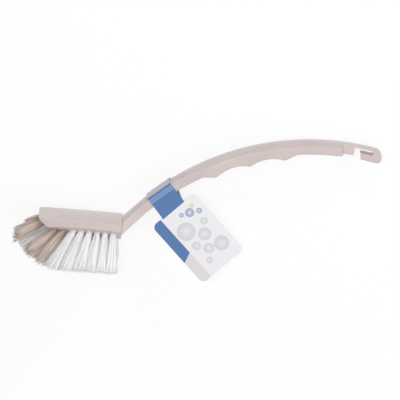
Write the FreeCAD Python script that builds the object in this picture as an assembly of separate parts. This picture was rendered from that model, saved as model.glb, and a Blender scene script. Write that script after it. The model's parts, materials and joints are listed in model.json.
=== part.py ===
import FreeCAD, Part
import math
import os

Vec = FreeCAD.Vector

# Sizes are in millimetres and degrees.
# The brush is drawn with X back towards the hook, Y across and Z out of its back.
# The origin of that drawing is the heel of the head, midway between its top edges.
# Left and right are those of a hand that pushes the brush forward.

# Handle, one arc from the neck's root to the end of the hook.
# Stations along it are measured on its back, from where the arc would meet the heel.
# The root runs straight from the arc into the head, and widens on the way.
back_radius = 168.7
neck_slope = 46.6
neck_rise = 0.7
neck_depth = 7.3
neck_width = 14.0
root_length = 15.0
root_width = 23.0
root_radius = 60.0
root_steps = 4
neck_length = 48.9
taper_length = 22.0
taper_round = 30.0
grip_width = 18.5
grip_end = 159.6
grip_end_round = 3.0
body_depth = 7.9
dome_radius = 15.8
rim_round = 0.9

# Finger ridges under the grip.
ridge_count = 3
ridge_start = 70.7
ridge_pitch = 24.9
ridge_depth = 11.35
ridge_round = 1.2
scallop_depth = 8.95
ramp_length = 8.5
ramp_round = 6.0

# Hanging hook at the end of the handle: a beam, a slot under it and a jaw under the slot.
hook_width = 9.0
hook_end = 186.9
nose_round = 5.5
jaw_round = 2.6
beam_depth = 6.8
slot_top = 1.7
slot_gap = 2.8
slot_start = 167.6
slot_end = 180.6
jaw_start = 171.9
jaw_slant = 1.1
jaw_depth = 8.8

# Head block. Its length follows from the rows of tufts.
# The nose begins a little behind the last tuft of the middle row.
nose_lead = 1.3
nose_length = 9.0
head_rise = 4.8
heel_width = 30.0
middle_width = 32.0
front_width = 28.0
head_corner_round = 1.6
head_rim_round = 0.7
crown_height = 1.4
facet_length = 16.0
facet_drop = 1.6
heel_depth = 11.4
nose_start_depth = 8.6
nose_depth = 1.2
bevel_depth = 4.5
bevel_angle = 45.0

# Tuft holes and the rows that they stand in, measured from the heel and from the middle line.
hole_diameter = 3.2
hole_depth = 4.6
row_spacing = 6.3
row_first = 5.3
inner_row_first = 8.0
tuft_pitch = 5.25
edge_white_count = 6
edge_tan_count = 2
edge_tan_pitch = 6.2
inner_count = 8
middle_count = 9
front_count = 3
front_spacing = 7.0
front_inset = 3.2
front_sweep = 0.4

# Tufts fan forward along the head and lean outwards from its middle line.
# Lean grows by fan_angle over a head's length, and by fan_growth more with its square.
# Side lean is what a tuft at the very edge of the head would have.
fan_angle = 24.75
fan_growth = 65.0
side_lean = 17.9
front_lean = 66.0
front_side_lean = 45.6
tuft_clearance = 0.06
tuft_gap = 0.5
tuft_flare_start = 2.5
tuft_widest = 3.8

# Cut ends of the bristles: flat under the head, then round the front.
# The round begins behind the nose and ends ahead of the head.
trim_depth = 33.0
trim_lead = 8.2
trim_radius = 39.0
trim_overhang = 17.0
trim_plan_radius = 24.0

# Wire anchors that hold the folded tufts.
anchor_thickness = 0.3
anchor_height = 1.6
anchor_bite = 0.4
anchor_fold = 0.8

# Card label round the neck, one card folded and glued to itself.
label_station = 31.5
card_stock = 0.4
strap_width = 18.2
strap_clearance = 0.35
strap_sag = 0.8
strap_join = 14.5
card_width = 35.6
card_offset = 0.25
card_length = 50.8
card_start = 16.3
card_corner = 3.5
card_turn = 5.1

# How far a body that only cuts others reaches past them.
cutter_reach = heel_depth / 2
# How near to its point, seen from the side, an edge across the brush lies that is picked for rounding.
pick_reach = ridge_round
# The neck begins inside the head, behind its leaning heel wall.
neck_root = heel_depth * math.tan(math.radians(head_rise)) + rim_round

hole_radius = hole_diameter / 2
row_end = row_first + tuft_pitch * (middle_count - 1)
nose_start = row_end - nose_lead
head_length = nose_start + nose_length
front_row = head_length - front_inset
trim_flat = nose_start - trim_lead
trim_reach = head_length + trim_overhang
ridges = [ridge_start + ridge_pitch * index for index in range(ridge_count)]
ramp_out = ridges[0] - ramp_length
ramp_back = ridges[-1] + ramp_length
arc_x = back_radius * math.sin(math.radians(neck_slope))
arc_z = neck_rise - back_radius * math.cos(math.radians(neck_slope))
arc_top = arc_z + back_radius
arc_center = Vec(arc_x, 0, arc_z)
origin = Vec(0, 0, 0)
along = Vec(1, 0, 0)
across = Vec(0, 1, 0)
upward = Vec(0, 0, 1)


def unit(vector):
    return vector * (1 / vector.Length)


def station_angle(distance):
    return math.degrees(distance / back_radius) - neck_slope


def arc_point(distance, depth):
    angle = math.radians(station_angle(distance))
    radius = back_radius - depth
    return Vec(arc_x + radius * math.sin(angle), 0, arc_z + radius * math.cos(angle))


def arc_direction(distance):
    angle = math.radians(station_angle(distance))
    return Vec(math.cos(angle), 0, -math.sin(angle))


def neck_underside(distance):
    share = (ramp_out - distance) / (ramp_out - root_length)
    return arc_point(distance, body_depth - (body_depth - neck_depth) * share ** 2)


def line(start, end):
    return Part.makeLine(start, end)


def arc(start, middle, end):
    return Part.Arc(start, middle, end).toShape()


def concentric(start, end, depth):
    return arc(arc_point(start, depth), arc_point((start + end) / 2, depth), arc_point(end, depth))


def polygon(corners):
    return Part.makePolygon(corners + corners[:1])


def rounded_wire(corners):
    cuts = []
    for index, (point, radius) in enumerate(corners):
        back = unit(corners[index - 1][0] - point)
        ahead = unit(corners[(index + 1) % len(corners)][0] - point)
        half_angle = back.getAngle(ahead) / 2
        reach = radius / math.tan(half_angle)
        middle = point + unit(back + ahead) * (radius / math.sin(half_angle) - radius)
        cuts.append((point + back * reach, middle, point + ahead * reach))
    edges = []
    for index, (start, middle, end) in enumerate(cuts):
        if corners[index][1]:
            edges.append(arc(start, middle, end))
        edges.append(line(end, cuts[(index + 1) % len(cuts)][0]))
    return Part.Wire(edges)


def slab(wire, direction):
    face = Part.Face(wire)
    face.translate(direction * -0.5)
    return face.extrude(direction)


def cross_edges(shape, points):
    def is_at(edge, point):
        offsets = [vertex.Point - point for vertex in edge.Vertexes]
        return all(math.hypot(offset.x, offset.z) < pick_reach for offset in offsets)

    return [edge for edge in shape.Edges if any(is_at(edge, point) for point in points)]


def upright_edges(shape):
    return [edge for edge in shape.Edges if edge.BoundBox.ZLength > edge.BoundBox.DiagonalLength / 2]


def is_side_wall(face):
    low_u, high_u, low_v, high_v = face.ParameterRange
    return abs(face.normalAt((low_u + high_u) / 2, (low_v + high_v) / 2).z) < 1e-4


def rim_edges(shape):
    rims = []
    for edge in shape.Edges:
        faces = [face for face in shape.Faces if any(other.isSame(edge) for other in face.Edges)]
        walls = [face for face in faces if is_side_wall(face)]
        if len(walls) == 1:
            rims.append(edge)
    return rims


def round_rims_behind(shape, start):
    rims = [edge for edge in rim_edges(shape) if edge.CenterOfMass.x > start + rim_round]
    return shape.makeFillet(rim_round, rims)


def domed_section(half, radius, depth):
    edge = arc_top - radius + math.sqrt(radius ** 2 - half ** 2)
    left = Vec(arc_x, -half, edge)
    right = Vec(arc_x, half, edge)
    low_left = Vec(arc_x, -half, arc_top - depth)
    low_right = Vec(arc_x, half, arc_top - depth)
    return Part.Wire([
        arc(left, Vec(arc_x, 0, arc_top), right),
        line(right, low_right),
        line(low_right, low_left),
        line(low_left, left),
    ])


def domed_arc():
    first = station_angle(root_length - cutter_reach)
    last = station_angle(hook_end + cutter_reach)
    face = Part.Face(domed_section(grip_width / 2 + rim_round, dome_radius, ridge_depth + cutter_reach))
    face.rotate(arc_center, across, first)
    return face.revolve(arc_center, across, last - first)


def grip_plan():
    neck_half = neck_width / 2
    grip_half = grip_width / 2
    side = [
        (Vec(-neck_root, neck_half, 0), 0),
        (Vec(arc_point(neck_length, 0).x, neck_half, 0), taper_round),
        (Vec(arc_point(neck_length + taper_length, 0).x, grip_half, 0), taper_round),
        (Vec(arc_point(grip_end, 0).x, grip_half, 0), grip_end_round),
    ]
    other_side = [(Vec(point.x, -point.y, 0), radius) for point, radius in reversed(side)]
    return slab(rounded_wire(side + other_side), upward * (4 * back_radius))


def grip_side():
    end = grip_end + cutter_reach
    edges = [
        concentric(root_length, end, -cutter_reach),
        line(arc_point(end, -cutter_reach), arc_point(end, body_depth)),
        concentric(end, ramp_back, body_depth),
        line(arc_point(ramp_back, body_depth), arc_point(ridges[-1], ridge_depth)),
    ]
    for low, high in reversed(list(zip(ridges[:-1], ridges[1:]))):
        scallop = arc_point((low + high) / 2, scallop_depth)
        edges.append(arc(arc_point(high, ridge_depth), scallop, arc_point(low, ridge_depth)))
    edges += [
        line(arc_point(ridges[0], ridge_depth), neck_underside(ramp_out)),
        arc(neck_underside(ramp_out), neck_underside((ramp_out + root_length) / 2), neck_underside(root_length)),
        line(neck_underside(root_length), arc_point(root_length, -cutter_reach)),
    ]
    return slab(Part.Wire(edges), across * (2 * grip_width))


def make_grip():
    crests = [arc_point(ridge, ridge_depth) for ridge in ridges]
    ramps = [arc_point(ramp_out, body_depth), arc_point(ramp_back, body_depth)]
    grip = domed_arc().common(grip_plan()).common(grip_side())
    grip = grip.makeFillet(ridge_round, cross_edges(grip, crests))
    grip = grip.makeFillet(ramp_round, cross_edges(grip, ramps))
    return round_rims_behind(grip, arc_point(root_length, neck_depth).x)


def make_root():
    reach = root_length + neck_root + neck_depth
    sections = []
    for step in range(root_steps + 1):
        share = step / root_steps
        half = (neck_width + (root_width - neck_width) * share ** 2) / 2
        bend = 1 / dome_radius + (1 / root_radius - 1 / dome_radius) * share ** 2
        section = domed_section(half, 1 / bend, neck_depth)
        section.rotate(arc_center, across, station_angle(root_length))
        section.translate(arc_direction(root_length) * (-reach * share))
        sections.append(section)
    root = Part.makeLoft(sections, True)
    root = root.makeFillet(rim_round, [edge for edge in root.Edges if edge.Length > root_length])
    inside = Part.makeBox(2 * reach, root_width, 4 * reach, Vec(-neck_root, -root_width / 2, -2 * reach))
    return root.common(inside)


def slot_seat():
    return arc_point(slot_end - slot_gap / 2, slot_top + slot_gap / 2)


def hook_slot():
    closed = slot_end - slot_gap / 2
    bottom = slot_top + slot_gap
    slot_tip = slot_seat() + arc_direction(closed) * (slot_gap / 2)
    below = jaw_depth + cutter_reach
    start = grip_end - 2 * beam_depth
    tip = jaw_start + jaw_slant
    edges = [
        line(arc_point(start, below), arc_point(start, beam_depth)),
        concentric(start, slot_start, beam_depth),
        line(arc_point(slot_start, beam_depth), arc_point(slot_start, slot_top)),
        concentric(slot_start, closed, slot_top),
        arc(arc_point(closed, slot_top), slot_tip, arc_point(closed, bottom)),
        concentric(closed, jaw_start, bottom),
        line(arc_point(jaw_start, bottom), arc_point(tip, jaw_depth)),
        line(arc_point(tip, jaw_depth), arc_point(tip, below)),
        line(arc_point(tip, below), arc_point(start, below)),
    ]
    return slab(Part.Wire(edges), across * (2 * hook_width))


def make_hook():
    start = grip_end - beam_depth / 2
    edges = [
        concentric(start, hook_end, -cutter_reach),
        line(arc_point(hook_end, -cutter_reach), arc_point(hook_end, jaw_depth)),
        concentric(hook_end, start, jaw_depth),
        line(arc_point(start, jaw_depth), arc_point(start, -cutter_reach)),
    ]
    hook = domed_arc().common(slab(Part.Wire(edges), across * hook_width))
    hook = hook.makeFillet(nose_round, cross_edges(hook, [arc_point(hook_end, 0)]))
    hook = hook.makeFillet(jaw_round, cross_edges(hook, [arc_point(hook_end, jaw_depth)]))
    return round_rims_behind(hook, arc_point(start, 0).x).cut(hook_slot())


def head_plan():
    heel = [Vec(0, heel_width / 2, 0), Vec(0, -heel_width / 2, 0)]
    front = [Vec(-head_length, front_width / 2, 0), Vec(-head_length, -front_width / 2, 0)]
    middle = Vec(-head_length / 2, middle_width / 2, 0)
    edges = [
        arc(heel[0], middle, front[0]),
        line(front[0], front[1]),
        arc(front[1], middle - across * middle_width, heel[1]),
        line(heel[1], heel[0]),
    ]
    block = slab(Part.Wire(edges), upward * (4 * heel_depth))
    return block.makeFillet(head_corner_round, upright_edges(block))


def underside(forward, side):
    if forward < nose_start:
        floor = -heel_depth + (heel_depth - nose_start_depth) * forward / nose_start
    else:
        nose_slope = (nose_start_depth - nose_depth) / (head_length - nose_start)
        floor = -nose_start_depth + nose_slope * (forward - nose_start)
    bevel = -bevel_depth - (middle_width / 2 - abs(side)) * math.tan(math.radians(bevel_angle))
    return max(floor, bevel)


def head_side():
    top = crown_height + cutter_reach
    past = head_length + cutter_reach
    corners = [
        Vec(cutter_reach, 0, top),
        Vec(-past, 0, top),
        Vec(-past, 0, underside(past, 0)),
        Vec(-nose_start, 0, -nose_start_depth),
        Vec(0, 0, -heel_depth),
        Vec(cutter_reach, 0, -heel_depth),
    ]
    return slab(polygon(corners), across * (2 * middle_width))


def head_section():
    half = middle_width / 2
    top = crown_height + cutter_reach
    bottom = heel_depth + cutter_reach
    inset = half - (bottom - bevel_depth) / math.tan(math.radians(bevel_angle))
    side = [Vec(0, half, top), Vec(0, half, -bevel_depth), Vec(0, inset, -bottom)]
    other_side = [Vec(0, -point.y, point.z) for point in reversed(side)]
    return slab(polygon(side + other_side), along * (3 * head_length))


def head_crown():
    radius = ((middle_width / 2) ** 2 + crown_height ** 2) / (2 * crown_height)
    start = Vec(cutter_reach, 0, crown_height - radius)
    return Part.makeCylinder(radius, head_length + 2 * cutter_reach, start, along * -1)


def front_facet():
    past = head_length + cutter_reach
    drop = facet_drop * (facet_length + cutter_reach) / facet_length
    corners = [
        Vec(facet_length - head_length, 0, crown_height),
        Vec(-past, 0, crown_height - drop),
        Vec(-past, 0, crown_height + cutter_reach),
    ]
    return slab(polygon(corners), across * (2 * middle_width))


def make_head():
    head = head_plan().common(head_side()).common(head_section()).common(head_crown())
    top_rims = [edge for edge in rim_edges(head) if edge.CenterOfMass.z > -bevel_depth / 2]
    return head.makeFillet(head_rim_round, top_rims).cut(front_facet())


def fan_lean(forward):
    share = (forward - row_first) / head_length
    return fan_angle * share + fan_growth * share ** 2


def plan_tuft(name, forward, side, lean, edge_lean=side_lean):
    turn = math.radians(lean)
    sideways = math.tan(math.radians(edge_lean * side / (middle_width / 2)))
    root = Vec(-forward, side, underside(forward, side))
    axis = unit(Vec(-math.sin(turn), sideways, -math.cos(turn)))
    return {"name": name, "root": root, "axis": axis}


def side_tufts(sign, side):
    tufts = []
    edge = sign * 2 * row_spacing
    for index in range(edge_white_count):
        forward = row_first + tuft_pitch * index
        tufts.append(plan_tuft(f"tuft_white_{side}_edge_{index + 1}", forward, edge, fan_lean(forward)))
    last_white = row_first + tuft_pitch * (edge_white_count - 1)
    for index in range(edge_tan_count):
        forward = last_white + edge_tan_pitch * (index + 1)
        tufts.append(plan_tuft(f"tuft_tan_{side}_edge_{index + 1}", forward, edge, fan_lean(forward)))
    for index in range(inner_count):
        forward = inner_row_first + tuft_pitch * index
        name = f"tuft_white_{side}_inner_{index + 1}"
        tufts.append(plan_tuft(name, forward, sign * row_spacing, fan_lean(forward)))
    return tufts


def all_tufts():
    tufts = side_tufts(-1, "left") + side_tufts(1, "right")
    for index in range(middle_count):
        forward = row_first + tuft_pitch * index
        tufts.append(plan_tuft(f"tuft_white_middle_{index + 1}", forward, 0, fan_lean(forward)))
    for index in range(front_count):
        place = index - (front_count - 1) / 2
        forward = front_row - front_sweep * place ** 2
        side = front_spacing * place
        name = f"tuft_tan_front_{index + 1}"
        tufts.append(plan_tuft(name, forward, side, front_lean, front_side_lean))
    return tufts


def trim_point(angle):
    center = Vec(-trim_flat, 0, trim_radius - trim_depth)
    return center + Vec(-math.sin(angle), 0, -math.cos(angle)) * trim_radius


def trim_envelope():
    reach_angle = math.asin((trim_reach - trim_flat) / trim_radius)
    heel_low = Vec(cutter_reach, 0, -trim_depth)
    heel_high = Vec(cutter_reach, 0, trim_depth)
    front_high = Vec(-trim_reach, 0, trim_depth)
    side_edges = [
        line(heel_low, trim_point(0)),
        arc(trim_point(0), trim_point(reach_angle / 2), trim_point(reach_angle)),
        line(trim_point(reach_angle), front_high),
        line(front_high, heel_high),
        line(heel_high, heel_low),
    ]
    half = across * trim_plan_radius
    bow_center = Vec(trim_plan_radius - trim_reach, 0, 0)
    heel = Vec(cutter_reach, 0, 0)
    plan_edges = [
        arc(bow_center + half, Vec(-trim_reach, 0, 0), bow_center - half),
        line(bow_center - half, heel - half),
        line(heel - half, heel + half),
        line(heel + half, bow_center + half),
    ]
    profile = slab(Part.Wire(side_edges), across * (4 * trim_plan_radius))
    return profile.common(slab(Part.Wire(plan_edges), upward * (4 * trim_depth)))


def measure_tufts(tufts, envelope):
    for one in tufts:
        ray = line(one["root"], one["root"] + one["axis"] * (2 * trim_reach))
        one["length"] = ray.common(envelope).Length
    for one in tufts:
        tip = one["root"] + one["axis"] * one["length"]
        others = [other for other in tufts if other is not one]
        nearest = min((tip - other["root"]).cross(other["axis"]).Length for other in others)
        one["tip_radius"] = min(tuft_widest, (nearest - tuft_gap) / 2)


def make_hole(one):
    start = one["root"] - one["axis"] * hole_depth
    return Part.makeCylinder(hole_radius, hole_depth + tuft_flare_start, start, one["axis"])


def make_anchor(one):
    axis = one["axis"]
    wide = unit(across - axis * across.dot(axis))
    width = hole_diameter + 2 * anchor_bite
    foot = one["root"] - axis * (hole_depth - tuft_clearance - anchor_fold)
    plate = Part.makeBox(width, anchor_thickness, anchor_height, Vec(-width / 2, -anchor_thickness / 2, 0))
    plate.Placement = FreeCAD.Placement(foot, FreeCAD.Rotation(wide, axis.cross(wide), axis, "XYZ"))
    return plate


def make_tuft(one, envelope, anchor):
    axis = one["axis"]
    radius = hole_radius - tuft_clearance
    sunk = hole_depth - tuft_clearance
    foot = Part.makeCylinder(radius, sunk + tuft_flare_start, one["root"] - axis * sunk, axis)
    spread = (one["tip_radius"] - radius) / (one["length"] - tuft_flare_start)
    past = one["length"] + trim_radius / 2
    flare = one["root"] + axis * tuft_flare_start
    bundle = Part.makeCone(radius, radius + spread * past, past, flare, axis)
    return foot.fuse(bundle).common(envelope).cut(anchor)


def label_loop():
    half = neck_width / 2 + strap_clearance
    shoulder_drop = dome_radius - math.sqrt(dome_radius ** 2 - (neck_width / 2) ** 2)
    shoulder = arc_top - shoulder_drop + strap_clearance
    near_high = Vec(arc_x, -half, shoulder)
    near_low = Vec(arc_x, -half, arc_top - strap_join)
    far_high = Vec(arc_x, half, shoulder)
    far_low = Vec(arc_x, half, arc_top - body_depth - strap_sag)
    inner = Part.Wire([
        arc(near_high, Vec(arc_x, 0, arc_top + strap_clearance), far_high),
        line(far_high, far_low),
        line(far_low, near_low),
        line(near_low, near_high),
    ])
    ring = Part.Face(inner.makeOffset2D(card_stock)).cut(Part.Face(inner))
    ring.translate(along * (-strap_width / 2))
    return ring.extrude(along * strap_width)


def label_panel(width, high, low, corner):
    half = along * (width / 2)
    top = Vec(arc_x, 0, arc_top - high)
    bottom = Vec(arc_x, 0, arc_top - low)
    points = [top - half, top + half, bottom + half, bottom - half]
    panel = slab(rounded_wire([(point, corner) for point in points]), across * (2 * card_stock))
    panel.translate(across * -(neck_width / 2 + strap_clearance))
    return panel


def make_label():
    strap = label_panel(strap_width, strap_join, card_start + card_corner, 0)
    card = label_panel(card_width, card_start, card_start + card_length, card_corner)
    card.rotate(Vec(arc_x, 0, arc_top - card_start), across, -card_turn)
    card.translate(along * -card_offset)
    label = label_loop().fuse([strap, card])
    label.rotate(arc_center, across, station_angle(label_station))
    return label


def make_pieces():
    tufts = all_tufts()
    envelope = trim_envelope()
    measure_tufts(tufts, envelope)
    anchors = [make_anchor(one) for one in tufts]
    head = make_head().cut([make_hole(one) for one in tufts]).cut(anchors)
    pieces = {one["name"]: make_tuft(one, envelope, anchor) for one, anchor in zip(tufts, anchors)}
    pieces["tuft_anchors"] = Part.makeCompound(anchors)
    for shape in [head] + list(pieces.values()):
        shape.rotate(origin, across, head_rise)
    pieces["handle_body"] = make_grip().fuse([make_root(), make_hook(), head])
    pieces["label_card"] = make_label()
    return pieces


def lying_place(pieces):
    heel_tuft = pieces["tuft_white_right_edge_1"].BoundBox
    grip_x = arc_point(grip_end, 0).x - grip_end_round
    tilt = math.degrees(math.atan2(heel_tuft.YMax - grip_width / 2, grip_x - heel_tuft.Center.x))
    turn = FreeCAD.Rotation(across, tilt).multiply(FreeCAD.Rotation(along, -90))
    brush = Part.makeCompound(list(pieces.values()))
    brush.Placement = FreeCAD.Placement(origin, turn)
    box = brush.optimalBoundingBox(False, False)
    return FreeCAD.Placement(Vec(-box.Center.x, -box.Center.y, -box.ZMin), turn)


# The brush lies on its side, on its far tufts and the far side of its grip, head towards -X.
pieces = make_pieces()
lying = lying_place(pieces)
print("label arc center", lying.multVec(arc_center))
print("hook slot end", lying.multVec(slot_seat()))
print("near side", lying.Rotation.multVec(across * -1))
os.makedirs("parts", exist_ok=True)
for name, shape in pieces.items():
    shape.Placement = lying.multiply(shape.Placement)
    shape.exportStep(f"parts/{name}.step")
    print(name, shape.isValid(), len(shape.Solids), round(shape.Volume, 1))
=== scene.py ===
import bpy
import json
import math
import numpy as np
from mathutils import Matrix, Vector


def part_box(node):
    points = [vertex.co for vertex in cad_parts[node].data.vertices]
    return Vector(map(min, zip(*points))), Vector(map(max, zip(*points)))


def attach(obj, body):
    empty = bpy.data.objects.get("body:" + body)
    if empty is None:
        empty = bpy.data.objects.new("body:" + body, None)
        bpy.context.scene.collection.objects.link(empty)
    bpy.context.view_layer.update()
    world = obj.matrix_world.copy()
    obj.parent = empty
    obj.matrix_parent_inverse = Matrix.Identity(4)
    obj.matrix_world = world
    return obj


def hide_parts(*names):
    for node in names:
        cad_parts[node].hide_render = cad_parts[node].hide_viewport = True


# lengths are in metres and angles in degrees
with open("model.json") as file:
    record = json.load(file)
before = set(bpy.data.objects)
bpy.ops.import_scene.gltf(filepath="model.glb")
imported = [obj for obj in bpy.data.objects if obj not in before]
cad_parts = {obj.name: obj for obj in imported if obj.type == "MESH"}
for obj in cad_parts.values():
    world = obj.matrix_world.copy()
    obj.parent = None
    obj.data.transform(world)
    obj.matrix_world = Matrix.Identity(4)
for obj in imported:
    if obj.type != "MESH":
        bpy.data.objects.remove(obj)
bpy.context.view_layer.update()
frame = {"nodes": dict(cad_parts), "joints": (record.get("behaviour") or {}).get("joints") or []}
scene = bpy.context.scene
scene.view_settings.view_transform = "Standard"

# the label slides about the centre of the handle's arc, and the slide's axis points to the near side
slide = frame["joints"][0]
arcCentre = Vector(slide["pos_m"])
nearSide = Vector(slide["axis"]).normalized()
backSide = Vector((0, 1, 0))
towardHook = backSide.cross(nearSide)
print("frame read:", len(frame["nodes"]), "nodes")


# one wrapped socket: sums of sockets add their own maths nodes, in shader and geometry trees alike
class Flow:
    def __init__(self, tree, socket=None):
        self.tree = tree
        self.socket = socket

    def feed(self, target, value):
        if isinstance(value, Flow):
            self.tree.links.new(value.socket, target)
        else:
            target.default_value = value

    def make(self, kind, settings=None, sockets=None, output=0):
        node = self.tree.nodes.new(kind)
        for name, value in (settings or {}).items():
            if name == "captures":
                for captured, dataType in value.items():
                    node.capture_items.new(dataType, captured)
            else:
                setattr(node, name, value)
        for key, value in (sockets or {}).items():
            self.feed(node.inputs[key], value)
        return Flow(self.tree, node.outputs[output])

    def other(self, output):
        return Flow(self.tree, self.socket.node.outputs[output])

    def maths(self, operation, left, right):
        def isVector(value):
            if isinstance(value, Flow):
                return value.socket.type == "VECTOR"
            return not isinstance(value, (int, float))

        kind = "ShaderNodeVectorMath" if isVector(left) or isVector(right) else "ShaderNodeMath"
        return self.make(kind, {"operation": operation}, {0: left, 1: right})

    def __add__(self, right):
        return self.maths("ADD", self, right)

    def __radd__(self, left):
        return self.maths("ADD", left, self)

    def __sub__(self, right):
        return self.maths("SUBTRACT", self, right)

    def __rsub__(self, left):
        return self.maths("SUBTRACT", left, self)

    def __mul__(self, right):
        return self.maths("MULTIPLY", self, right)

    def __rmul__(self, left):
        return self.maths("MULTIPLY", left, self)

    def __truediv__(self, right):
        return self.maths("DIVIDE", self, right)

    def __rtruediv__(self, left):
        return self.maths("DIVIDE", left, self)

    def __pow__(self, right):
        return self.maths("POWER", self, right)

    def __abs__(self):
        return self.apply("ABSOLUTE")

    def apply(self, operation):
        return self.make("ShaderNodeMath", {"operation": operation}, {0: self})

    def most(self, right):
        return self.maths("MAXIMUM", self, right)

    # 0 below the edge and 1 above it, with a soft change as wide as given
    def past(self, edge, soft):
        return self.make("ShaderNodeMapRange", {"interpolation_type": "SMOOTHSTEP"},
                         {"Value": self, "From Min": edge - soft / 2, "From Max": edge + soft / 2})

    # the low value where this is 0, the high one where it is 1
    def between(self, low, high):
        return low + (high - low) * self

    def blend(self, first, second):
        return self.make("ShaderNodeMix", {"data_type": "RGBA"}, {0: self, 6: first, 7: second}, 2)

    def noise(self, scale, detail, roughness=0.5):
        return self.make("ShaderNodeTexNoise", {},
                         {"Vector": self, "Scale": scale, "Detail": detail, "Roughness": roughness})

    def combined(self, x, y, z=0.0):
        return self.make("ShaderNodeCombineXYZ", {}, {"X": x, "Y": y, "Z": z})

    def scaled(self, share):
        return self.make("ShaderNodeVectorMath", {"operation": "SCALE"}, {0: self, "Scale": share})

    def unit(self):
        return self.make("ShaderNodeVectorMath", {"operation": "NORMALIZE"}, {0: self})

    def length(self):
        return self.make("ShaderNodeVectorMath", {"operation": "LENGTH"}, {0: self}, "Value")

    def dot(self, right):
        return self.make("ShaderNodeVectorMath", {"operation": "DOT_PRODUCT"}, {0: self, 1: right}, "Value")

    def along(self, origin, direction):
        return (self - tuple(origin)).dot(tuple(direction))


# a colour as the screen shows it, 0 to 255, in the linear light that a shader takes
def linear(red, green, blue):
    def one(value):
        share = value / 255
        return share / 12.92 if share <= 0.04045 else ((share + 0.055) / 1.055) ** 2.4

    return (one(red), one(green), one(blue), 1.0)


def newMaterial(name, finish):
    material = bpy.data.materials.new(name)
    material.use_nodes = True
    shader = material.node_tree.nodes["Principled BSDF"]
    for socket, value in finish.items():
        shader.inputs[socket].default_value = value
    return material, shader, Flow(material.node_tree)


def objectCoords(flow):
    return flow.make("ShaderNodeTexCoord", output="Object")


def setBump(flow, shader, height, distance, strength):
    bump = flow.make("ShaderNodeBump", {}, {"Height": height, "Distance": distance, "Strength": strength})
    flow.feed(shader.inputs["Normal"], bump)


def paint(node, material):
    mesh = frame["nodes"][node].data
    mesh.materials.clear()
    mesh.materials.append(material)
    print(node, "painted")


# handle and head: satin moulded plastic, faintly clouded
plastic = {
    "finish": {"IOR": 1.49, "Coat Weight": 0.25, "Coat Roughness": 0.1},
    "light": (215, 201, 198),
    "deep": (206, 191, 188),
    "clouds": {"scale": 38.0, "detail": 3.0, "roughness": 0.55},
    "grain": {"scale": 2600.0, "detail": 3.0, "roughness": 0.6},
    "cloudShare": 0.8,  # of the colour's change, the rest is grain
    "toneEdge": (0.5, 0.5),  # where deep turns to light, and how softly
    "roughness": (0.3, 0.4),
    "bump": {"distance": 0.00003, "strength": 0.35},
}


def mouldedPlastic():
    material, shader, flow = newMaterial("mouldedPlastic", plastic["finish"])
    coords = objectCoords(flow)
    clouds = coords.noise(**plastic["clouds"])
    grain = coords.noise(**plastic["grain"])
    tone = clouds * plastic["cloudShare"] + grain * (1 - plastic["cloudShare"])
    colour = tone.past(*plastic["toneEdge"]).blend(linear(*plastic["deep"]), linear(*plastic["light"]))
    flow.feed(shader.inputs["Base Color"], colour)
    flow.feed(shader.inputs["Roughness"], ((clouds + grain) / 2).between(*plastic["roughness"]))
    setBump(flow, shader, grain, **plastic["bump"])
    return material


paint("handle_body", mouldedPlastic())


# wire anchors, sealed in the holes
anchors = {
    "finish": {"Metallic": 1.0},
    "light": (196, 197, 200),
    "deep": (150, 151, 155),
    "streaks": {"scale": 900.0, "detail": 3.0},
    "stretch": (1.0, 0.06, 1.0),  # drawn out into streaks along one axis
    "roughness": (0.28, 0.48),
}


def anchorSteel():
    material, shader, flow = newMaterial("anchorSteel", anchors["finish"])
    streaks = (objectCoords(flow) * anchors["stretch"]).noise(**anchors["streaks"])
    colour = streaks.blend(linear(*anchors["deep"]), linear(*anchors["light"]))
    flow.feed(shader.inputs["Base Color"], colour)
    flow.feed(shader.inputs["Roughness"], streaks.between(*anchors["roughness"]))
    return material


paint("tuft_anchors", anchorSteel())


# bristles: every tuft is a bundle of filaments round a packed heart of thicker strands, cut off on one plane
bristles = {
    "finish": {"IOR": 1.53},
    "roughness": (0.28, 0.44),
    "tipFade": (0.25, 0.6),  # where the root's colour, darkened as painted shade, turns to the tip's paler colour, and how softly
    "rootRadius": 0.00146,
    "holeDepth": 0.00454,
    "sink": 0.0015,  # how deep in the hole the strands start
    "footBand": 0.0005,  # the height that counts as a solid's foot
    "cutFacing": 0.3,  # least cosine between the tuft and a face of its cut end
    "clumps": 7.0,  # to a tuft
    "sides": 4,  # of a strand
    "points": 6,  # along a strand
    "softness": 0.35,  # share of the tuft's own surface in a strand's shading
    "turnJitter": 0.25,
    "streakShare": 0.65,  # of a strand's tone, the rest is its own
    "streakHash": (12.9898, 437.585),  # mixes a clump's angle into a number that looks random
    "phaseStep": 2.4,  # turns the clumps from tuft to tuft
    "seedStep": 50,  # from row to row
    "firstSeed": {"Filament": 1, "Heart": 21},
    "strands": {
        "Filament": {"Count": 160, "Radius": 0.00013, "Taper": 1.0, "Stray": 0.18, "Bend": 0.0009},
        "Heart": {"Count": 18, "Radius": 0.00034, "Taper": 3.4, "Stray": 0.1, "Bend": 0.0003},
    },
    "white": {
        "root": (250, 250, 251),
        "tip": (253, 253, 253),
        "dull": 0.97,
        "sizes": {"Clumping": 0.12, "Uneven": 0.04, "Heart End": 0.95, "Filament Spread": 1.75,
                  "Heart Spread": 1.5},
    },
    "tan": {
        "root": (200, 163, 145),
        "tip": (254, 236, 222),
        "dull": 0.3,
        "sizes": {"Clumping": 0.8, "Uneven": 0.2, "Heart End": 0.82, "Filament Spread": 1.25,
                  "Heart Spread": 0.5},
    },
    # degrees that a worn-in tuft bends away from the head's back, and its share of its solid's length
    "bent": {
        "tuft_tan_front_1": (4.0, 1.17),
        "tuft_tan_front_2": (8.0, 1.0),
        "tuft_tan_front_3": (11.0, 0.82),
    },
}
goldenAngle = math.radians(137.508)


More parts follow.
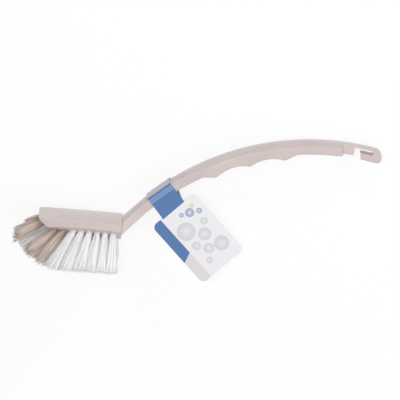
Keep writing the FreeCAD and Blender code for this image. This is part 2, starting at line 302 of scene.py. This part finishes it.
# the middle and the direction of a solid's flat foot in its hole
def tuftFoot(points):
    middle = points.mean(0)
    longest = np.linalg.svd(points - middle, full_matrices=False)[2][0]
    low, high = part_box("tuft_anchors")
    headCentre = np.array((low + high) / 2)
    if longest @ (middle - headCentre) < 0:
        longest = -longest
    heights = points @ longest
    ring = points[heights < heights.min() + bristles["footBand"]]
    ring = np.unique(ring.round(7), axis=0)  # loose triangles repeat their corners
    normal = np.linalg.svd(ring - ring.mean(0), full_matrices=False)[2][2]
    axis = normal if normal @ longest > 0 else -normal
    return (ring.min(0) + ring.max(0)) / 2, axis


# the middle and the normal of a solid's cut end, weighed by the areas of its faces
def cutEnd(mesh, foot, axis, halfway):
    point = Vector((0, 0, 0))
    normal = Vector((0, 0, 0))
    area = 0.0
    for face in mesh.polygons:
        isHigh = (np.array(face.center) - foot) @ axis > halfway
        if isHigh and np.array(face.normal) @ axis > bristles["cutFacing"]:
            point += face.center * face.area
            normal += face.normal * face.area
            area += face.area
    return point / area, normal.normalized()


# start in the hole, axis, tip radius and cut end of a tuft, read from its solid's own mesh
def tuftLine(node):
    mesh = frame["nodes"][node].data
    points = np.array([vertex.co for vertex in mesh.vertices])
    foot, axis = tuftFoot(points)
    reach = (points - foot) @ axis
    sideways = np.linalg.norm(points - foot - np.outer(reach, axis), axis=1)
    cutPoint, cutNormal = cutEnd(mesh, foot, axis, reach.max() / 2)
    start = Vector(foot + axis * (bristles["holeDepth"] - bristles["sink"]))
    degrees, stretch = bristles["bent"].get(node, (0.0, 1.0))
    bend = Matrix.Rotation(math.radians(degrees), 3, nearSide)
    return {
        "start": start,
        "axis": bend @ Vector(axis),
        "tipRadius": float(sideways.max()),
        "cutPoint": start + bend @ (cutPoint - start) * stretch,
        "cutNormal": bend @ cutNormal,
    }


# all filaments or all heart strands of a row of tufts, from planted roots to finished tubes
class StrandSet:
    draws = ("turn", "jitterX", "jitterY", "tone", "swayX", "swayY", "swayZ", "length")

    def __init__(self, flow, asked, kind):
        self.flow = flow
        self.asked = asked
        self.kind = kind

    def size(self, name):
        return self.asked(self.kind + " " + name)

    def draw(self, name, low=0.0, high=1.0):
        seed = self.asked("Seed") + (bristles["firstSeed"][self.kind] + self.draws.index(name))
        return self.flow.make("FunctionNodeRandomValue", {"data_type": "FLOAT"},
                              {2: low, 3: high, "Seed": seed}, 1)

    def wander(self, name, room):
        return self.draw(name, -1.0, 1.0) * room

    def stored(self, name, kind="FLOAT"):
        return self.flow.make("GeometryNodeInputNamedAttribute", {"data_type": kind}, {"Name": name})

    def standing(self, vector):
        return self.flow.make("FunctionNodeAlignRotationToVector", {"axis": "Z"}, {"Vector": vector})

    def moved(self, geometry, offset):
        return self.flow.make("GeometryNodeSetPosition", {}, {"Geometry": geometry, "Offset": offset})

    def capture(self, geometry, kinds, values):
        return self.flow.make("GeometryNodeCaptureAttribute", {"domain": "POINT", "captures": kinds},
                              {"Geometry": geometry, **values})

    # a clump has one pale or dark tone, and each of its strands differs a little from it
    def streakedTone(self, clump, phase):
        spin, scatter = bristles["streakHash"]
        streak = ((clump * spin + phase).apply("SINE") * scatter).apply("FRACT")
        share = bristles["streakShare"]
        return self.draw("tone") * (1 - share) + streak * streak * share

    # sunflower spacing in the hole, the same spread wider at the tips, where strands lean into clumps
    def plant(self, points, clumping):
        flow = self.flow
        copies = flow.make("GeometryNodeDuplicateElements", {"domain": "POINT"},
                           {"Geometry": points, "Amount": self.size("Count")})
        place = copies.other("Duplicate Index")
        outward = ((place + 0.5) / self.size("Count")) ** 0.5
        turn = place * goldenAngle + self.wander("turn", bristles["turnJitter"])
        step = 2 * math.pi / self.asked("Clumps")
        phase = self.stored("phase")
        clump = ((turn + phase) / step).apply("ROUND") * step - phase
        upright = self.standing(self.stored("axis", "FLOAT_VECTOR"))

        def onDisc(angle):
            return flow.combined(angle.apply("COSINE") * outward, angle.apply("SINE") * outward)

        def turned(vector):
            return flow.make("FunctionNodeRotateVector", {}, {"Vector": vector, "Rotation": upright})

        root = onDisc(turn) * self.asked("Root Radius")
        lean = onDisc(turn + (clump - turn) * clumping)
        stray = self.size("Stray")
        jitter = flow.combined(self.wander("jitterX", stray), self.wander("jitterY", stray))
        tip = (lean * (1.0 - stray) + jitter) * (self.stored("tipRadius") * self.size("Spread"))
        tip = tip + flow.combined(0.0, 0.0, self.stored("tuftLength"))
        sway = [self.wander(name, self.size("Bend")) for name in ("swayX", "swayY", "swayZ")]
        kinds = {"Way": "VECTOR", "Tone": "FLOAT", "Sway": "VECTOR", "Outward": "VECTOR"}
        return self.capture(self.moved(copies, turned(root)), kinds, {
            "Way": turned(tip - root).unit(),
            "Tone": self.streakedTone(clump, phase),
            "Sway": flow.combined(*sway),
            "Outward": turned(lean).unit(),
        })

    # every strand runs to the plane of its tuft's cut end, or to the given share of the way there
    def grow(self, planted, share):
        flow = self.flow
        way = planted.other("Way")
        cutNormal = self.stored("cutNormal", "FLOAT_VECTOR")
        toCut = self.stored("cutPoint", "FLOAT_VECTOR") - flow.make("GeometryNodeInputPosition")
        length = toCut.dot(cutNormal) / way.dot(cutNormal) * share
        length = length * (1.0 - self.asked("Uneven") * self.draw("length"))
        line = flow.make("GeometryNodeCurvePrimitiveLine", {}, {"End": (0.0, 0.0, 1.0)})
        line = flow.make("GeometryNodeResampleCurve", {}, {"Curve": line, "Count": self.asked("Points")})
        grown = flow.make("GeometryNodeInstanceOnPoints", {}, {
            "Points": planted,
            "Instance": line,
            "Rotation": self.standing(way),
            "Scale": flow.combined(1.0, 1.0, length),
        })
        grown = flow.make("GeometryNodeRealizeInstances", {}, {"Geometry": grown})

        # a gentle bow, none at either end and all of the sway half way
        along = flow.make("GeometryNodeSplineParameter")
        grown = self.moved(grown, planted.other("Sway") * (along * (1.0 - along) * 4.0))

        # strands that would sink into the ground lie on it
        height = flow.make("ShaderNodeSeparateXYZ", {}, {0: flow.make("GeometryNodeInputPosition")}, "Z")
        sunk = (self.size("Radius") * self.size("Taper") - height).most(0.0)
        grown = self.moved(grown, flow.combined(0.0, 0.0, sunk))
        return self.capture(grown, {"Along": "FLOAT"}, {"Along": along})

    def tube(self, planted, grown):
        flow = self.flow
        along = grown.other("Along")
        ring = flow.make("GeometryNodeCurvePrimitiveCircle", {},
                         {"Resolution": self.asked("Sides"), "Radius": self.size("Radius")})
        tubes = flow.make("GeometryNodeCurveToMesh", {}, {
            "Curve": grown,
            "Profile Curve": ring,
            "Scale": along.between(1.0, self.size("Taper")),
            "Fill Caps": True,
        })
        for name, value in (("along", along), ("tone", planted.other("Tone"))):
            tubes = flow.make("GeometryNodeStoreNamedAttribute", {"data_type": "FLOAT", "domain": "POINT"},
                              {"Geometry": tubes, "Name": name, "Value": value})

        # packed filaments scatter light between them, so a strand is shaded partly as the tuft's own surface
        tubes = flow.make("GeometryNodeSetShadeSmooth", {}, {0: tubes})
        soft = self.asked("Softness")
        facing = planted.other("Outward") * soft + flow.make("GeometryNodeInputNormal") * (1.0 - soft)
        return flow.make("GeometryNodeSetMeshNormal", {"mode": "FREE", "domain": "POINT"},
                         {"Mesh": tubes, "Custom Normal": facing})


def bristleTree():
    tree = bpy.data.node_groups.new("bristleTree", "GeometryNodeTree")
    inputs = {"Geometry": "Geometry", "Sides": "Int", "Points": "Int", "Root Radius": "Float",
              "Clumps": "Float", "Clumping": "Float", "Uneven": "Float", "Softness": "Float",
              "Heart End": "Float", "Seed": "Int", "Material": "Material"}
    for kind in bristles["strands"]:
        for size in ("Count", "Radius", "Taper", "Spread", "Stray", "Bend"):
            inputs[kind + " " + size] = "Int" if size == "Count" else "Float"
    for name, kind in inputs.items():
        tree.interface.new_socket(name, in_out="INPUT", socket_type="NodeSocket" + kind)
    tree.interface.new_socket("Geometry", in_out="OUTPUT", socket_type="NodeSocketGeometry")
    flow = Flow(tree)
    asked = flow.make("NodeGroupInput").other
    points = flow.make("GeometryNodeMeshToPoints", {}, {"Mesh": asked("Geometry")})

    def strands(kind, clumping, share):
        strandSet = StrandSet(flow, asked, kind)
        planted = strandSet.plant(points, clumping)
        return strandSet.tube(planted, strandSet.grow(planted, share))

    # the heart has no clumps and stops short of the cut end
    heart = strands("Heart", 0.0, asked("Heart End"))
    tuft = flow.make("GeometryNodeJoinGeometry", {}, {"Geometry": heart})
    flow.feed(tuft.socket.node.inputs["Geometry"], strands("Filament", asked("Clumping"), 1.0))
    tuft = flow.make("GeometryNodeRealizeInstances", {}, {"Geometry": tuft})
    tuft = flow.make("GeometryNodeSetMaterial", {}, {"Geometry": tuft, "Material": asked("Material")})
    result = tree.nodes.new("NodeGroupOutput")
    flow.feed(result.inputs["Geometry"], tuft)
    return tree


def filamentMaterial(colour):
    tones = bristles[colour]
    material, shader, flow = newMaterial(colour + "Filament", bristles["finish"])
    along = flow.make("ShaderNodeAttribute", {"attribute_name": "along"}, output="Fac")
    tone = flow.make("ShaderNodeAttribute", {"attribute_name": "tone"}, output="Fac")
    # painted shade and light: the root colour is darker, as shade deep in the tuft by the head, and the tip
    # colour paler, as light through the cut ends; strongest in tan
    body = along.past(*bristles["tipFade"]).blend(linear(*tones["root"]), linear(*tones["tip"]))
    flow.feed(shader.inputs["Base Color"], body.scaled(tone.between(1.0, tones["dull"])))
    flow.feed(shader.inputs["Roughness"], tone.between(*bristles["roughness"]))
    return material


# a point where each tuft starts, which carries the tuft's line and the phase of its clumps
def tuftRoots(name, lines, seed):
    mesh = bpy.data.meshes.new(name)
    mesh.from_pydata([tuple(line["start"]) for line in lines], [], [])
    for key in ("axis", "cutPoint", "cutNormal"):
        values = [part for line in lines for part in line[key]]
        mesh.attributes.new(key, "FLOAT_VECTOR", "POINT").data.foreach_set("vector", values)
    numbers = {
        "tuftLength": [(line["cutPoint"] - line["start"]).length for line in lines],
        "tipRadius": [line["tipRadius"] for line in lines],
        "phase": [(seed + place) * bristles["phaseStep"] for place in range(len(lines))],
    }
    for key, values in numbers.items():
        mesh.attributes.new(key, "FLOAT", "POINT").data.foreach_set("value", values)
    roots = bpy.data.objects.new(name, mesh)
    scene.collection.objects.link(roots)
    return roots


def treeValues(colour, material, seed):
    values = {
        "Sides": bristles["sides"],
        "Points": bristles["points"],
        "Root Radius": bristles["rootRadius"],
        "Clumps": bristles["clumps"],
        "Softness": bristles["softness"],
        "Seed": seed,
        "Material": material,
        **bristles[colour]["sizes"],
    }
    for kind, sizes in bristles["strands"].items():
        for size, value in sizes.items():
            values[kind + " " + size] = value
    return values


def growBristles(name, nodes, tree, colour, material, seed):
    roots = tuftRoots(name + "Roots", [tuftLine(node) for node in nodes], seed)
    modifier = roots.modifiers.new("bristles", "NODES")
    modifier.node_group = tree
    values = treeValues(colour, material, seed)
    for item in tree.interface.items_tree:
        if item.in_out == "INPUT" and item.name in values:
            modifier[item.identifier] = values[item.name]
    evaluated = roots.evaluated_get(bpy.context.evaluated_depsgraph_get())
    grown = bpy.data.meshes.new_from_object(evaluated)
    grown.name = name
    roots.modifiers.clear()
    bpy.data.objects.remove(roots)
    piece = bpy.data.objects.new(name, grown)
    scene.collection.objects.link(piece)
    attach(piece, "brush")
    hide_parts(*nodes)
    colour + "_bristle"
    print(name, len(nodes), "tufts,", len(grown.polygons), "faces")


tree = bristleTree()
filaments = {colour: filamentMaterial(colour) for colour in ("white", "tan")}
rows = {
    "bristlesWhiteLeftEdge": "tuft_white_left_edge",
    "bristlesWhiteLeftInner": "tuft_white_left_inner",
    "bristlesWhiteMiddle": "tuft_white_middle",
    "bristlesWhiteRightInner": "tuft_white_right_inner",
    "bristlesWhiteRightEdge": "tuft_white_right_edge",
    "bristlesTanLeftEdge": "tuft_tan_left_edge",
    "bristlesTanRightEdge": "tuft_tan_right_edge",
    "bristlesTanFront": "tuft_tan_front",
}
for place, (name, start) in enumerate(rows.items()):
    colour = "tan" if "Tan" in name else "white"
    nodes = sorted(node for node in frame["nodes"] if node.startswith(start))
    growBristles(name, nodes, tree, colour, filaments[colour], place * bristles["seedStep"])


# card label: coated card, printed with plain blocks of colour and bubbles, unprinted inside its loop
label = {
    "finish": {"Coat Weight": 0.3, "Coat Roughness": 0.2},
    "fibres": {"scale": 1400.0, "detail": 3.0},
    "fibreTone": (0.97, 1.03),
    "roughness": (0.36, 0.52),
    "bump": {"distance": 0.00002, "strength": 0.3},
    "station": -35.902,  # on the handle's arc
    "backRadius": 0.1687,
    "domeRadius": 0.0158,
    "loopHalf": 0.00755,
    "loopTop": 0.00055,
    "returnHigh": 0.0087,  # the loop's underside slants from high to low
    "returnLow": 0.0145,
    "returnPlay": 0.0002,
    "boardSoft": 0.0001,  # width of the change from print to bare board
    "cardStart": 0.0163,
    "cardOffset": -0.00025,
    "cardTurn": 5.1,
    "cardWidth": 0.0356,
    "stripWidth": 0.0073,
    "stripEnd": 0.0245,
    "stripSlant": 0.45,
    "strapEnd": 0.0009,
    "strapWidth": 0.0182,
    "sheenHalf": (0.0070, 0.0003),  # edge and softness of the painted sheen, a paler stretch where the strap faces up over the neck, to the sides and in depth
    "sheenDepth": (0.0004, 0.0002),
    # depths of two painted highlight lines where the strap bends round the neck's edge, and their width
    "highlightLines": (0.0027, 0.0045),
    "highlightWidth": 0.0011,
    "sharp": 0.00012,  # width of the change from one printed colour to the next
    "blue": (70, 113, 168),
    "highlightBlue": (132, 161, 207),
    "sheenLilac": (188, 190, 210),
    "white": (241, 240, 243),
    "beige": (226, 220, 221),
    "board": (236, 235, 232),
    "bubbleGrey": (205, 207, 213),
    "bubbleBlue": (103, 137, 184),
    "bubbleGreen": (196, 210, 130),
    "bubbleRim": (0.3, 1.3),  # edge and softness of a bubble's tint, as shares of its radius
    "bubbleStrength": 0.75,
    # tint, place across and down the card, and radius
    "bubbles": (
        ("bubbleGrey", -0.0030, 0.0170, 0.0062),
        ("bubbleGrey", 0.0052, 0.0262, 0.0044),
        ("bubbleGrey", -0.0042, 0.0288, 0.0030),
        ("bubbleGrey", 0.0108, 0.0192, 0.0026),
        ("bubbleGrey", 0.0010, 0.0352, 0.0036),
        ("bubbleGrey", 0.0096, 0.0380, 0.0050),
        ("bubbleGrey", -0.0040, 0.0418, 0.0022),
        ("bubbleBlue", 0.0072, 0.0088, 0.0030),
        ("bubbleBlue", 0.0128, 0.0118, 0.0019),
        ("bubbleBlue", 0.0020, 0.0066, 0.0016),
        ("bubbleGreen", 0.0112, 0.0060, 0.0015),
    ),
}


# a point on the label's spoke of the handle's arc
def onSpoke(radius):
    angle = math.radians(label["station"])
    return arcCentre + (towardHook * math.sin(angle) + backSide * math.cos(angle)) * radius


def ink(name):
    return linear(*label[name])


# the card's face: a blue strip that ends in a slanted cut, a beige one after it, and bubbles
def facePrint(flow, across, down):
    sharp = label["sharp"]
    strip = 1.0 - across.past(label["stripWidth"] - label["cardWidth"] / 2, sharp)
    beyond = (down + across * label["stripSlant"]).past(label["stripEnd"], sharp)
    colour = strip.blend(ink("white"), beyond.blend(ink("blue"), ink("beige")))
    clear = 1.0 - strip
    rimEdge, rimSoft = label["bubbleRim"]
    for tint, x, y, radius in label["bubbles"]:
        gap = flow.combined(across - x, down - y).length()
        rim = gap.past(radius * rimEdge, radius * rimSoft) * (1.0 - gap.past(radius, sharp))
        colour = (rim * clear * label["bubbleStrength"]).blend(colour, ink(tint))
    return colour


# the strap: blue, with painted highlights along its bend beside the fold, a painted sheen that makes it paler
# over the neck's back, and bare board inside its loop
def strapPrint(coords, inward):
    near = coords.along(arcCentre, nearSide)
    reach = abs(near)
    depth = coords.along(onSpoke(label["backRadius"]), inward)
    belowDome = depth - (label["domeRadius"] - (label["domeRadius"] ** 2 - near * near) ** 0.5)
    # painted highlights: two paler blue lines along the strap's bend, where light catches the fold
    foldHighlight = 0.0
    for place in label["highlightLines"]:
        foldHighlight = 1.0 - abs(depth - place).past(label["highlightWidth"] / 2, label["highlightWidth"]) + foldHighlight
    colour = foldHighlight.blend(ink("blue"), ink("highlightBlue"))
    # painted sheen: over the neck's back the strap's colour turns pale lilac, a reflection painted into the
    # print
    paintedSheen = (1.0 - reach.past(*label["sheenHalf"])) * (1.0 - belowDome.past(*label["sheenDepth"]))
    colour = paintedSheen.blend(colour, ink("sheenLilac"))

    slope = (label["returnLow"] - label["returnHigh"]) / (2 * label["loopHalf"])
    underReturn = depth - (near + label["loopHalf"]) * slope - label["returnHigh"]
    soft = label["boardSoft"]
    outside = reach.past(label["loopHalf"], soft).most(1.0 - belowDome.past(-label["loopTop"], soft))
    outside = outside.most(underReturn.past(label["returnPlay"], soft))
    return outside.blend(ink("board"), colour)


def printedCard():
    material, shader, flow = newMaterial("printedCard", label["finish"])
    coords = objectCoords(flow)
    top = onSpoke(label["backRadius"] - label["cardStart"])
    inward = (arcCentre - top).normalized()
    tangent = nearSide.cross(inward)
    turn = math.radians(label["cardTurn"])
    corner = top + tangent * label["cardOffset"]
    across = coords.along(corner, tangent * math.cos(turn) - inward * math.sin(turn))
    down = coords.along(corner, inward * math.cos(turn) + tangent * math.sin(turn))

    sharp = label["sharp"]
    beside = abs(coords.along(top, tangent)).past(label["strapWidth"] / 2 + sharp, sharp)
    onStrap = (1.0 - down.past(label["strapEnd"], sharp)) * (1.0 - beside)
    colour = onStrap.blend(facePrint(flow, across, down), strapPrint(coords, inward))
    fibres = coords.noise(**label["fibres"])
    flow.feed(shader.inputs["Base Color"], colour.scaled(fibres.between(*label["fibreTone"])))
    flow.feed(shader.inputs["Roughness"], fibres.between(*label["roughness"]))
    setBump(flow, shader, fibres, **label["bump"])
    return material


paint("label_card", printedCard())


# floor, light and camera
studio = {
    "worldStrength": 0.45,
    "floorSize": 6.0,
    "floorTone": 0.9,
    "floorShadow": 0.2,
    "cameraDistance": 4.0,
    "cameraTilt": 14.0,
    "lens": 547.7,
    "sensorWidth": 36.0,
    "clipStart": 0.01,
    "aimAlong": -0.07157,
    "aimBack": 0.128,
    "lampDistance": 1.2,
    # the way to a lamp: shares toward the camera, the near side, the hook and the brush's back
    "lamps": {
        "key": {"energy": 3.3, "size": (1.0, 1.0), "way": (1.0, 0.0, 0.5, -0.5)},
        "fill": {"energy": 3.5, "size": (0.3, 0.3), "way": (1.0, 0.0, -0.15, 0.0)},
        "rim": {"energy": 2.6, "size": (0.6, 0.03), "way": (0.0, 0.5, 0.45, 0.9)},
    },
}


def cameraOrMirror(flow):
    rays = flow.make("ShaderNodeLightPath", output="Is Camera Ray")
    return rays.most(rays.other("Is Glossy Ray")).most(rays.other("Is Transmission Ray"))


def makeFloor():
    half = studio["floorSize"] / 2
    corners = [(-half, -half, 0), (half, -half, 0), (half, half, 0), (-half, half, 0)]
    mesh = bpy.data.meshes.new("floor")
    mesh.from_pydata(corners, [], [(0, 1, 2, 3)])
    floor = bpy.data.objects.new("floor", mesh)
    scene.collection.objects.link(floor)
    material = bpy.data.materials.new("paleFloor")
    material.use_nodes = True
    tree = material.node_tree
    tree.nodes.clear()
    flow = Flow(tree)

    def matt(tone):
        return flow.make("ShaderNodeBsdfDiffuse", {}, {"Color": (tone, tone, tone, 1.0)})

    # seen by the camera it is white, less the object's soft shadow
    white = flow.make("ShaderNodeEmission", {}, {"Strength": 1 - studio["floorShadow"] * studio["floorTone"]})
    seen = flow.make("ShaderNodeAddShader", {}, {0: white, 1: matt(studio["floorShadow"])})
    mixed = flow.make("ShaderNodeMixShader", {},
                      {0: cameraOrMirror(flow), 1: matt(studio["floorTone"]), 2: seen})
    result = tree.nodes.new("ShaderNodeOutputMaterial")
    flow.feed(result.inputs["Surface"], mixed)
    mesh.materials.append(material)


def makeWorld():
    world = bpy.data.worlds.new("studio")
    scene.world = world
    world.use_nodes = True
    flow = Flow(world.node_tree)
    background = world.node_tree.nodes["Background"]
    background.inputs["Color"].default_value = (1.0, 1.0, 1.0, 1.0)
    strength = cameraOrMirror(flow).between(studio["worldStrength"], 1.0)
    flow.feed(background.inputs["Strength"], strength)


def addCamera(aim, toCamera):
    upward = toCamera.cross(towardHook)
    turn = Matrix((towardHook, upward, toCamera)).transposed()
    camera = bpy.data.cameras.new("camera")
    camera.lens = studio["lens"]
    camera.sensor_width = studio["sensorWidth"]
    camera.clip_start = studio["clipStart"]
    holder = bpy.data.objects.new("camera", camera)
    scene.collection.objects.link(holder)
    place = aim + toCamera * studio["cameraDistance"]
    holder.matrix_world = Matrix.Translation(place) @ turn.to_4x4()
    scene.camera = holder


def addLamp(name, aim, sides, energy, size, way):
    lamp = bpy.data.lights.new(name, "AREA")
    lamp.shape = "RECTANGLE"
    lamp.size, lamp.size_y = size
    lamp.energy = energy
    holder = bpy.data.objects.new(name, lamp)
    scene.collection.objects.link(holder)
    toLamp = sum((side * share for side, share in zip(sides, way)), Vector((0, 0, 0))).normalized()
    holder.location = aim + toLamp * studio["lampDistance"]
    holder.rotation_euler = (-toLamp).to_track_quat("-Z", "Y").to_euler()


aim = arcCentre + towardHook * studio["aimAlong"] + backSide * studio["aimBack"]
tilt = math.radians(studio["cameraTilt"])
toCamera = nearSide * math.cos(tilt) + backSide * math.sin(tilt)
makeFloor()
makeWorld()
addCamera(aim, toCamera)
for name, lamp in studio["lamps"].items():
    addLamp(name + "Lamp", aim, (toCamera, nearSide, towardHook, backSide), **lamp)
print("studio set")
